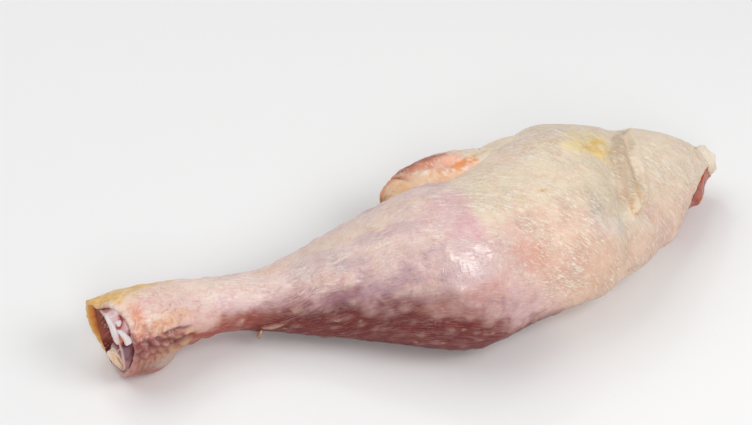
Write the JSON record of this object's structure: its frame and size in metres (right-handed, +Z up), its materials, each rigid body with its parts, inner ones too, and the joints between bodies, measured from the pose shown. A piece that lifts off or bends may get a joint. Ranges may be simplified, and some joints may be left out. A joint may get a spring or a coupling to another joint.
{
  "type": "raw chicken leg",
  "caption": "Raw whole chicken leg with skin: tapered drumstick cut at the hock, broad folded thigh, and a flap of skin in the crook of the knee.",
  "frame": {"origin": "on the table, under the centre of the leg's bounding box", "axes": "+X along the leg from the cut hock to the hip end, +Z up with the skin side up, -Y towards the outside of the bent knee"},
  "size_m": [0.2534, 0.0886, 0.0561],
  "materials": {
    "raw_skin": "moist raw poultry skin, satin; leather stands in for it",
    "raw_meat": "wet raw flesh; leather stands in for it",
    "cut_bone": "cut bone and gristle; matte plastic stands in for it",
    "tendon": "moist white tendon; rubber stands in for it"
  },
  "bodies": {
    "root": {"skin": "raw_skin", "meat": "raw_meat", "bone": "cut_bone", "tendon_long": "tendon", "tendon_upper": "tendon", "tendon_stub": "tendon"}
  },
  "joints": []
}
